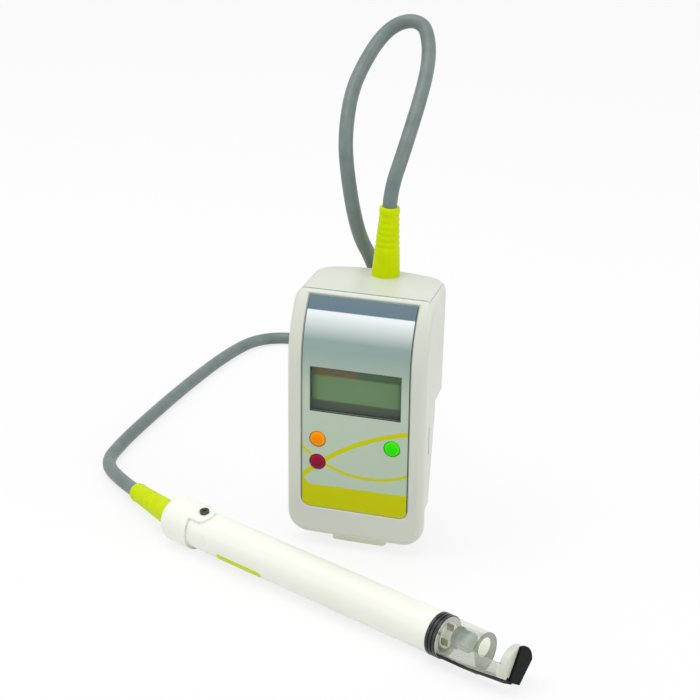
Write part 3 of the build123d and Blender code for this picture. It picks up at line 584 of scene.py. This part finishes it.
BUTTON_COLOURS = {
    "orange": (1.0, 0.268, 0.0010),
    "crimson": (0.250, 0.010, 0.042),
    "green": (0.034, 0.80, 0.0010),
}
CAP_RADIUS = 0.0034
CAP_ROUND = 0.0015          # rounding of the cap's rim
CAP_CROWN = 0.0004          # rise of its middle over the start of the rounding
CAP_STEPS = 8
# How much lighter the caps' rims are painted: a painted highlight.
CAP_RIM_HIGHLIGHT = 1.5
FLANGE_START = 0.0026       # from the cap's face to its flange
FLANGE_THICK = 0.0008
FLANGE_RADIUS = 0.0043
PLUNGER_RADIUS = 0.0017
LATHE_STEPS = 64


def lathe(name, profile, turn):
    """Closed solid of revolution about its own Z, from (along, radius) points, set in place."""
    edit = bmesh.new()
    rings = []
    for along, radius in profile:
        angles = [2 * math.pi * i / LATHE_STEPS for i in range(LATHE_STEPS if radius else 1)]
        rings.append([edit.verts.new((radius * math.cos(a), radius * math.sin(a), along)) for a in angles])
    for low, high in zip(rings, rings[1:]):
        for i in range(LATHE_STEPS):
            corners = [low[i % len(low)], low[(i + 1) % len(low)], high[(i + 1) % len(high)], high[i % len(high)]]
            edit.faces.new(list(dict.fromkeys(corners)))
    bmesh.ops.recalc_face_normals(edit, faces=edit.faces)
    for face in edit.faces:
        face.smooth = True
    mesh = bpy.data.meshes.new(name)
    edit.to_mesh(mesh)
    edit.free()
    mesh.transform(turn)
    mesh.set_sharp_from_angle(angle=math.radians(35))
    return shown(name, mesh)


def cap_profile(length):
    """Crowned face with a rounded rim, then the shaft, the flange and the plunger."""
    points = [(0.0, 0.0)]
    inner = CAP_RADIUS - CAP_ROUND
    for i in range(1, CAP_STEPS):
        points.append((CAP_CROWN * (i / CAP_STEPS) ** 2, inner * i / CAP_STEPS))
    for i in range(CAP_STEPS + 1):
        angle = math.pi / 2 * i / CAP_STEPS
        drop = CAP_CROWN + CAP_ROUND * (1 - math.cos(angle))
        points.append((drop, inner + CAP_ROUND * math.sin(angle)))
    points += [(FLANGE_START, CAP_RADIUS), (FLANGE_START, FLANGE_RADIUS)]
    points += [(FLANGE_START + FLANGE_THICK, FLANGE_RADIUS), (FLANGE_START + FLANGE_THICK, PLUNGER_RADIUS)]
    return points + [(length, PLUNGER_RADIUS), (length, 0.0)]


def cap_finish(name, colour, middle):
    """Dyed glossy plastic, painted lighter at its rim as a painted highlight."""
    finish = Finish(name, colour, 0.26, Specular_IOR_Level=0.05)
    share = finish.noise(0.0012)
    x, y, z = finish.place()
    away = ((x - middle[0]) * (x - middle[0]) + (z - middle[2]) * (z - middle[2])).root()
    rim = finish.step(away, CAP_RADIUS - CAP_ROUND, CAP_RADIUS - CAP_ROUND / 2)
    face = finish.mix(share, colour, tuple(0.92 * c for c in colour))
    # Painted highlight: the rim is lighter all round.
    finish.feed("Base Color", finish.mix(0.6 * rim, face, tuple(min(1.0, CAP_RIM_HIGHLIGHT * c) for c in colour)))
    finish.feed("Roughness", 0.20 + 0.08 * share)
    finish.grain(0.0004, 0.00001)
    return finish.material


for colour_name, colour in BUTTON_COLOURS.items():
    node = "button_" + colour_name
    low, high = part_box(node)
    middle = ((low[0] + high[0]) / 2, low[1], (low[2] + high[2]) / 2)
    turn = Matrix.Translation(middle) @ Matrix.Rotation(-math.pi / 2, 4, "X")
    cap = lathe(node + "_cap", cap_profile(high[1] - low[1]), turn)
    cap.data.materials.append(cap_finish(colour_name + "_plastic", colour, middle))
    standing_for(cap, node)

# The board and its switches: green glass-epoxy laminate with tinned tracks, clamped between
# the posts of the two mouldings by four zinc-plated screws.

LAMINATE = (0.030, 0.130, 0.055)
TRACK = (0.055, 0.210, 0.090)


def laminate_finish():
    finish = Finish("board_laminate", LAMINATE, 0.35)
    point = finish.node("ShaderNodeTexCoord", out="Object")
    cells = finish.node(
        "ShaderNodeTexVoronoi",
        {"feature": "DISTANCE_TO_EDGE", "distance": "MANHATTAN"},
        {"Vector": point, "Scale": 260.0},
    )
    track = 1 - finish.step(cells, 0.03, 0.07)
    finish.feed("Base Color", finish.mix(track, LAMINATE, TRACK))
    finish.feed("Roughness", 0.30 + 0.12 * track)
    return finish.material


def black_finish(name, roughness, specular):
    """Black nylon or rubber with a fine even grain."""
    finish = Finish(name, (0.010, 0.013, 0.013), roughness, Specular_IOR_Level=specular)
    share = finish.mottle(0.002, (0.008, 0.011, 0.011), (0.016, 0.020, 0.018))
    finish.feed("Roughness", roughness - 0.06 + 0.12 * share)
    finish.grain(0.0003, 0.00002)
    return finish.material


laminate = laminate_finish()
nylon = black_finish("black_plastic", 0.40, 0.02)
steel = tin_finish("screw_steel", (0.36, 0.36, 0.35), 0.38)
gold = tin_finish("contact_gold", (0.52, 0.40, 0.16), 0.32)
dressed("circuit_board", laminate)
dressed("probe_board", laminate)
dressed("switch_bodies", nylon)
dressed("case_screws", steel)

# The data connector: a drawn tin-plated shell round a black insulator with fifteen plated
# contacts in two staggered rows. Its flange is caught in the foot of the rear moulding.

PIN_RADIUS = 0.00049
PIN_PITCH = 0.00277
PIN_ROW_GAP = 0.00284
PIN_NOSE = 0.0004
TIN_PALE = (0.84, 0.86, 0.66)


class Form(Bench):
    """A geometry tree with named sizes, whose result becomes a plain mesh."""

    def __init__(self, name, *sizes):
        super().__init__(bpy.data.node_groups.new(name, "GeometryNodeTree"))
        faces = self.tree.interface
        faces.new_socket(name="Geometry", in_out="OUTPUT", socket_type="NodeSocketGeometry")
        for label in sizes:
            faces.new_socket(name=label, in_out="INPUT", socket_type="NodeSocketFloat")
        faces.new_socket(name="Material", in_out="INPUT", socket_type="NodeSocketMaterial")
        self.given = self.tree.nodes.new("NodeGroupInput")

    def size(self, label):
        return Reading(self, self.given.outputs[label])

    def rounded(self, along, length, edge):
        """How much a round piece loses at its two ends, where its edges are rounded."""
        short = (edge - along).larger(edge - (length - along)).larger(0.0)
        return edge - (edge * edge - short * short).larger(0.0).root()

    def barrel(self, radius_at, length, rings):
        """Round solid on Z from 0 to the length, whose radius is a function of the height."""
        sides = {"Vertices": 64, "Side Segments": rings, "Radius": 1.0, "Depth": length}
        solid = self.node("GeometryNodeMeshCylinder", {}, sides)
        point = self.node("GeometryNodeInputPosition")
        x, y, z = [self.node("ShaderNodeSeparateXYZ", {}, {0: point}, out=i) for i in range(3)]
        along = z + length / 2
        radius = radius_at(along)
        moved = self.node("ShaderNodeCombineXYZ", {}, {0: x * radius, 1: y * radius, 2: along})
        return self.node("GeometryNodeSetPosition", {}, {"Geometry": solid, "Position": moved})

    def close(self, geometry):
        """Ends the tree with plain smooth geometry in the given material."""
        plain = self.node("GeometryNodeRealizeInstances", {}, {"Geometry": geometry})
        smooth = self.node("GeometryNodeSetShadeSmooth", {}, {"Geometry": plain})
        given = {"Geometry": smooth, "Material": self.size("Material")}
        coated = self.node("GeometryNodeSetMaterial", {}, given)
        self.node("NodeGroupOutput", {}, {"Geometry": coated})

    def made(self, name, turn, **sizes):
        """Plain mesh of the form at these sizes, set in place."""
        piece = shown(name, bpy.data.meshes.new(name + "_start"))
        growth = piece.modifiers.new("form", "NODES")
        growth.node_group = self.tree
        for item in self.tree.interface.items_tree:
            if item.in_out == "INPUT":
                growth[item.identifier] = sizes[item.name.replace(" ", "_")]
        grown = piece.evaluated_get(bpy.context.evaluated_depsgraph_get())
        mesh = bpy.data.meshes.new_from_object(grown)
        piece.modifiers.remove(growth)
        mesh.transform(turn)
        mesh.set_sharp_from_angle(angle=math.radians(40))
        piece.data = mesh
        return piece


def contact_rows():
    """Two staggered rows of round-nosed contacts."""
    form = Form("contact_rows", "Length", "Radius", "Nose", "Pitch", "Row Gap")
    length, radius, nose = form.size("Length"), form.size("Radius"), form.size("Nose")
    pin = form.barrel(lambda along: radius - form.rounded(along, length, nose), length, 24)
    pitch = form.size("Pitch")
    step = form.node("ShaderNodeCombineXYZ", {}, {0: pitch})
    rows = []
    for count, side in ((8, 0.5), (7, -0.5)):
        first = {0: pitch * (-(count - 1) / 2), 1: form.size("Row Gap") * side}
        start = form.node("ShaderNodeCombineXYZ", {}, first)
        places = {"Count": count, "Start Location": start, "Offset": step}
        row = form.node("GeometryNodeMeshLine", {}, places)
        rows.append(form.node("GeometryNodeInstanceOnPoints", {}, {"Points": row, "Instance": pin}))
    form.close(form.node("GeometryNodeJoinGeometry", {}, {"Geometry": rows}))
    return form


dressed("connector_shell", tin_finish("connector_tin", TIN_PALE, 0.42, 0.45))
dressed("connector_insulator", nylon)
low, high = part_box("connector_pins")
contacts = contact_rows().made(
    "contacts", Matrix.Translation((0, 0, low[2])),
    Length=high[2] - low[2], Radius=PIN_RADIUS, Nose=PIN_NOSE,
    Pitch=PIN_PITCH, Row_Gap=PIN_ROW_GAP, Material=gold,
)
standing_for(contacts, "connector_pins")

# The sleeves: soft lime PVC moulded on the cable's ends, with shallow ribs that let them bend.
# One is held by a collar under the case's top, and the other leans out of the probe's cap.

LIME = (0.590, 0.730, 0.0006)
LIME_DEEP = (0.550, 0.685, 0.0006)
BOOT_FOOT = (0.00165, 0.0254)
BOOT_LEAN = 2.4
BOOT_LENGTH = 0.0292
BOOT_BASE = 0.00595
SLEEVE_FOOT = (-0.0756, -0.0223, 0.0096)
SLEEVE_BASE = 0.0055
SLEEVE_SEAT = 0.0020
TIP_RADIUS = 0.0039
SKIRT = 0.0014              # how far the case's sleeve goes down into its seat
SLEEVE_SMOOTH = 0.42
SLEEVE_RIBS = 6
RIB_DEEP = 0.00022
RIM_LONG = 0.0026
RIM_PROUD = 0.0002
SLEEVE_ROUND = 0.0006


def ribbed_sleeve():
    """Tapered sleeve with a smooth foot, a run of shallow ribs and a rounded rim."""
    form = Form("ribbed_sleeve", "Length", "Base", "Tip", "Smooth", "Ribs", "Rib Depth", "Rim", "Rim Proud", "Round")
    length, base, tip = form.size("Length"), form.size("Base"), form.size("Tip")
    start, ribs, rim = form.size("Smooth") * length, form.size("Ribs"), form.size("Rim")

    def radius_at(along):
        taper = base + (tip - base) * (along / length)
        run = form.step(along, start, length - rim)
        valley = 0.5 - 0.5 * (2 * math.pi * ribs * run).cosine()
        proud = form.size("Rim Proud") * form.step(along, length - rim, length - rim * 0.8)
        ends = form.rounded(along, length, form.size("Round"))
        return taper - form.size("Rib Depth") * valley + proud - ends

    form.close(form.barrel(radius_at, length, 280))
    return form


def sleeve_finish():
    finish = Finish("lime_sleeve", LIME, 0.44, Specular_IOR_Level=0.05)
    share = finish.mottle(0.004, LIME, LIME_DEEP)
    finish.feed("Roughness", 0.36 + 0.12 * share)
    finish.grain(0.0005, 0.00003, detail=3.0)
    return finish.material


sleeve = ribbed_sleeve()
soft = {
    "Tip": TIP_RADIUS, "Ribs": SLEEVE_RIBS, "Rib_Depth": RIB_DEEP, "Rim": RIM_LONG,
    "Rim_Proud": RIM_PROUD, "Round": SLEEVE_ROUND, "Material": sleeve_finish(),
}
upright = Matrix.Translation((*BOOT_FOOT, CASE_TOP)) @ Matrix.Rotation(math.radians(BOOT_LEAN), 4, "Y")
boot = sleeve.made(
    "case_sleeve", upright @ Matrix.Translation((0, 0, -SKIRT)),
    Length=BOOT_LENGTH + SKIRT, Base=BOOT_BASE, Smooth=SLEEVE_SMOOTH, **soft,
)
standing_for(boot, "case_boot")
out = Vector(CABLE_END) - Vector(SLEEVE_FOOT)
leaning = Matrix.Translation(SLEEVE_FOOT) @ out.to_track_quat("Z", "Y").to_matrix().to_4x4()
lead = sleeve.made(
    "probe_sleeve", leaning @ Matrix.Translation((0, 0, -SLEEVE_SEAT)),
    Length=out.length + SLEEVE_SEAT, Base=SLEEVE_BASE, Smooth=SLEEVE_SMOOTH, **soft,
)
standing_for(lead, "probe_boot")

# The probe's body: a plain extruded tube of white PVC with a moulded cap, whose tongue takes
# a small cross-head screw, and a lime tag stuck on below.

TUBE_WHITE = (0.865, 0.880, 0.800)
TUBE_WARM = (0.840, 0.855, 0.765)
TAG_LIME = (0.62, 0.76, 0.012)
TAG_DEEP = (0.56, 0.70, 0.010)


def tube_finish():
    finish = Finish("white_plastic", TUBE_WHITE, 0.30, Specular_IOR_Level=0.4)
    share = finish.mottle(0.02, TUBE_WHITE, TUBE_WARM)
    finish.feed("Roughness", 0.27 + 0.08 * share)
    finish.grain(0.0009, 0.00001)
    return finish.material


def tag_finish():
    finish = Finish("lime_tag", TAG_LIME, 0.4, Specular_IOR_Level=0.08)
    finish.feed("Roughness", 0.35 + 0.1 * finish.mottle(0.0015, TAG_LIME, TAG_DEEP))
    return finish.material


white = tube_finish()
dressed("probe_tube", white)
dressed("probe_end_cap", white)
dressed("cap_screw", tin_finish("dark_steel", (0.075, 0.080, 0.070), 0.30, 0.75))
dressed("probe_tag", tag_finish())

# The optical head: machined clear acrylic gone a little milky, held by a black ridged collar.
# The lamp shines through it across the measuring gap on the detector in the tip.

ACRYLIC = (0.44, 0.485, 0.370)
ACRYLIC_HAZE = (0.54, 0.575, 0.490)
ACRYLIC_RING = (0.15, 0.18, 0.12)
ACRYLIC_BACK = (0.74, 0.78, 0.64)
ACRYLIC_TIP = (0.64, 0.68, 0.58)
LENS_SHADE_BLUE = (0.028, 0.056, 0.068)
LENS_GREY = (0.180, 0.255, 0.262)
LENS_HIGHLIGHT_PALE = (0.56, 0.65, 0.62)
HOLDER_MILK = (0.86, 0.88, 0.74)
HOLDER_DULL = (0.78, 0.80, 0.66)
MILK_PAINTED_GLOW = 0.22            # strength of the faint glow of the milky pieces, painted light
LUG_OLIVE = (0.115, 0.135, 0.008)
LUG_PLACES = ((-0.0012, 0.0057), (-0.0047, 0.0010))    # where the clear plastic makes them appear
LUG_MIDDLE = 0.1457
LUG_LONG = 0.0026
HOLDER_START = 0.1439
HOLDER_END = 0.1443
HOLDER_RADIUS = 0.0051
LUG_THICK = 0.0008
PROBE_YAW = -23.135
PROBE_DIP = 0.4
SKIN_RADIUS = 0.0056        # the veil is on the faces further out than this
VEIL = 0.15
BORE_VEIL = 0.03
LAMP_START = 0.1482
LAMP_END = 0.1552
LAMP_RADIUS = 0.0039
LAMP_RIM = 0.0044
LAMP_RIM_THICK = 0.0012
LAMP_ROUND = 0.0007
GAP_START = 0.1604
EYE_RADIUS = 0.0038
COLLAR_FACE = 0.1437
GAP_END = 0.1720
SPINE_TURN = 104.0          # degrees from the top: middle of the bridge across the gap
SPINE_FLAT = 0.0057         # its inner face, from the middle line
BORE_RADIUS = 0.0053
STRIP_RINGS = ((0.1442, 0.0082), (0.1550, 0.0082), (0.1720, 0.0066), (0.1750, 0.0059))
STRIP_TURN = 130.0          # degrees from the top
STRIP_HALF = 0.0026
STRIP_THICK = 0.0010
STRIP_STEPS = 12
HEAD_RADIUS = 0.0082
LAMP_RISE = 0.0020          # the bore leans upwards, and what it holds rises with it
HOLDER_RISE = 0.0010
EYE_RISE = 0.0027
EYE_PROUD = 0.0001
EYE_DEEP = 0.0004

along_probe = (
    Matrix.Translation(SLEEVE_FOOT)
    @ Matrix.Rotation(math.radians(PROBE_YAW), 4, "Z")
    @ Matrix.Rotation(math.radians(PROBE_DIP), 4, "Y")
)
facing_tip = along_probe @ Matrix.Rotation(math.pi / 2, 4, "Y")


def probe_reading(finish):
    """Distances along the probe, out from its middle line, above it and towards the bridge."""
    x, y, z = finish.place()
    turn = math.radians(PROBE_YAW)
    ahead, aside, above = x - SLEEVE_FOOT[0], y - SLEEVE_FOOT[1], z - SLEEVE_FOOT[2]
    along = ahead * math.cos(turn) + aside * math.sin(turn)
    across = aside * math.cos(turn) - ahead * math.sin(turn)
    level = above + along * math.sin(math.radians(PROBE_DIP))
    near = level * math.cos(math.radians(SPINE_TURN)) - across * math.sin(math.radians(SPINE_TURN))
    return along, (across * across + level * level).root(), level, near


def acrylic_finish():
    """Milky clear plastic: a veil over what lies inside, with a soft gloss."""
    finish = Finish("clear_plastic", ACRYLIC, 0.20, Specular_IOR_Level=0.5)
    share = finish.noise(0.004)
    along, away, level, near = probe_reading(finish)
    outer = finish.step(away, SKIN_RADIUS - 0.0001, SKIN_RADIUS)
    back = 1 - finish.step(along, COLLAR_FACE + 0.0003, COLLAR_FACE + 0.0005)
    ring = finish.step(along, GAP_START - 0.0005, GAP_START - 0.0003)
    ring = ring * (1 - finish.step(along, GAP_START + 0.0002, GAP_START + 0.0004))
    ring = ring * (1 - finish.step(near, SPINE_FLAT - 0.0004, SPINE_FLAT - 0.0001))
    bridge = finish.step(near, 0.0030, SPINE_FLAT) * finish.step(along, 0.1480, 0.1540)
    low = 1 - finish.step(level, -0.0060, -0.0005)
    tip = finish.step(along, GAP_END - 0.0006, GAP_END - 0.0002)
    colour = finish.mix(share, ACRYLIC, ACRYLIC_HAZE)
    colour = finish.mix(ring, colour, ACRYLIC_RING)
    colour = finish.mix(back, colour, ACRYLIC_BACK)
    finish.feed("Base Color", finish.mix(tip, colour, ACRYLIC_TIP))
    finish.feed("Roughness", 0.14 + 0.10 * share)
    veil = VEIL + 0.06 * share + 0.22 * bridge + 0.20 * low
    veil = veil.larger(0.74 * ring).larger(0.90 * back).larger(0.88 * tip)
    finish.feed("Alpha", BORE_VEIL + (1 - BORE_VEIL) * (outer.larger(back).larger(ring).larger(tip) * veil))
    return finish.material


def lamp_finish():
    """Tinted lens, with painted shade towards the holder and above and a painted highlight towards its end."""
    finish = Finish("lamp_body", LENS_SHADE_BLUE, 0.22, Specular_IOR_Level=0.4)
    along, away, level, near = probe_reading(finish)
    depth = along - 0.9 * (level - LAMP_RISE) + 0.0014 * finish.noise(0.002)
    # Painted shade at the top and towards the holder, painted highlight towards the lens end.
    tint = finish.mix(finish.step(depth, LAMP_START - 0.0005, LAMP_START + 0.0035), LENS_SHADE_BLUE, LENS_GREY)
    finish.feed("Base Color", finish.mix(finish.step(depth, LAMP_END - 0.0045, LAMP_END - 0.0015), tint, LENS_HIGHLIGHT_PALE))
    finish.feed("Roughness", 0.18 + 0.1 * finish.noise(0.002))
    return finish.material


def milk_finish():
    """Milky moulded plastic of the lamp's holder and of its window on the gap, made to glow faintly as painted light.
    """
    finish = Finish("milky_plastic", HOLDER_MILK, 0.35, Specular_IOR_Level=0.3, Emission_Strength=MILK_PAINTED_GLOW)
    finish.feed("Emission Color", finish.mix(finish.noise(0.002), HOLDER_MILK, HOLDER_DULL))
    finish.feed("Roughness", 0.30 + 0.1 * finish.mottle(0.002, HOLDER_MILK, HOLDER_DULL))
    return finish.material


def lamp_profile():
    """Rim at the holder, then the round body with its rounded lens end."""
    points = [(LAMP_START, 0.0), (LAMP_START, LAMP_RIM), (LAMP_START + LAMP_RIM_THICK, LAMP_RIM)]
    points.append((LAMP_START + LAMP_RIM_THICK, LAMP_RADIUS))
    for i in range(CAP_STEPS + 1):
        angle = math.pi / 2 * i / CAP_STEPS
        points.append(
            (LAMP_END - LAMP_ROUND * (1 - math.sin(angle)), LAMP_RADIUS - LAMP_ROUND * (1 - math.cos(angle)))
        )
    return points + [(LAMP_END, 0.0)]


def strip_mesh():
    """Bar bent to the head's round, whose far end slopes in to meet the plate."""
    edit = bmesh.new()
    rings = []
    turn = Matrix.Rotation(math.radians(STRIP_TURN), 4, "X")
    sides = [STRIP_HALF * (2 * i / STRIP_STEPS - 1) for i in range(STRIP_STEPS + 1)]
    for along, depth in STRIP_RINGS:
        outer = [Vector((along, t, min(depth, math.sqrt(HEAD_RADIUS**2 - t * t)))) for t in sides]
        inner = [Vector((along, t, depth - STRIP_THICK)) for t in reversed(sides)]
        rings.append([edit.verts.new(along_probe @ turn @ point) for point in outer + inner])
    for low, high in zip(rings, rings[1:]):
        for i in range(len(low)):
            edit.faces.new((low[i - 1], low[i], high[i], high[i - 1]))
    edit.faces.new(rings[0])
    edit.faces.new(rings[-1])
    bmesh.ops.recalc_face_normals(edit, faces=edit.faces)
    return edit


milk = milk_finish()
dressed("probe_collar", black_finish("black_rubber", 0.30, 0.45))
head = merged("optical_head")
for vert in head.verts:
    place = along_probe.inverted() @ vert.co
    if abs(place.x - COLLAR_FACE) < NARROW:
        place.x += 0.0001
    if LAMP_START < place.x < GAP_START - 0.001 and math.hypot(place.y, place.z) < BORE_RADIUS:
        place.z += LAMP_RISE
    vert.co = along_probe @ place
dressed("optical_head", acrylic_finish(), edit=head)
disc = [(HOLDER_START, 0), (HOLDER_START, HOLDER_RADIUS), (HOLDER_END, HOLDER_RADIUS), (HOLDER_END, 0)]
holder = lathe("holder_disc", disc, Matrix.Translation((0, 0, HOLDER_RISE)) @ facing_tip)
holder.data.materials.append(milk)
standing_for(holder, "lamp_holder")
lamp = lathe("lamp_glass", lamp_profile(), Matrix.Translation((0, 0, LAMP_RISE)) @ facing_tip)
lamp.data.materials.append(lamp_finish())
standing_for(lamp, "lamp")
lugs = bmesh.new()
for aside, above in LUG_PLACES:
    half = (LUG_LONG / 2, LUG_THICK / 2, LUG_LONG / 2)
    block = bmesh.ops.create_cube(lugs, size=1.0, matrix=along_probe @ Matrix.Translation(
        (LUG_MIDDLE, aside, above)) @ Matrix.Diagonal((*(2 * h for h in half), 1.0)))
dressed("lamp_contacts", tin_finish("lug_brass", LUG_OLIVE, 0.5, 0.2), flat=True, edit=lugs)
dressed("detector", nylon)
dressed("backing_strip", nylon, edit=strip_mesh(), angle=35.0)
dressed("tip_plate", nylon)

front_face = GAP_START + EYE_PROUD
eye = [(GAP_START - EYE_DEEP, 0), (GAP_START - EYE_DEEP, EYE_RADIUS), (front_face, EYE_RADIUS), (front_face, 0)]
window = lathe("lamp_window", eye, Matrix.Translation((0, 0, EYE_RISE)) @ facing_tip)
window.data.materials.append(milk)
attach(window, "body")
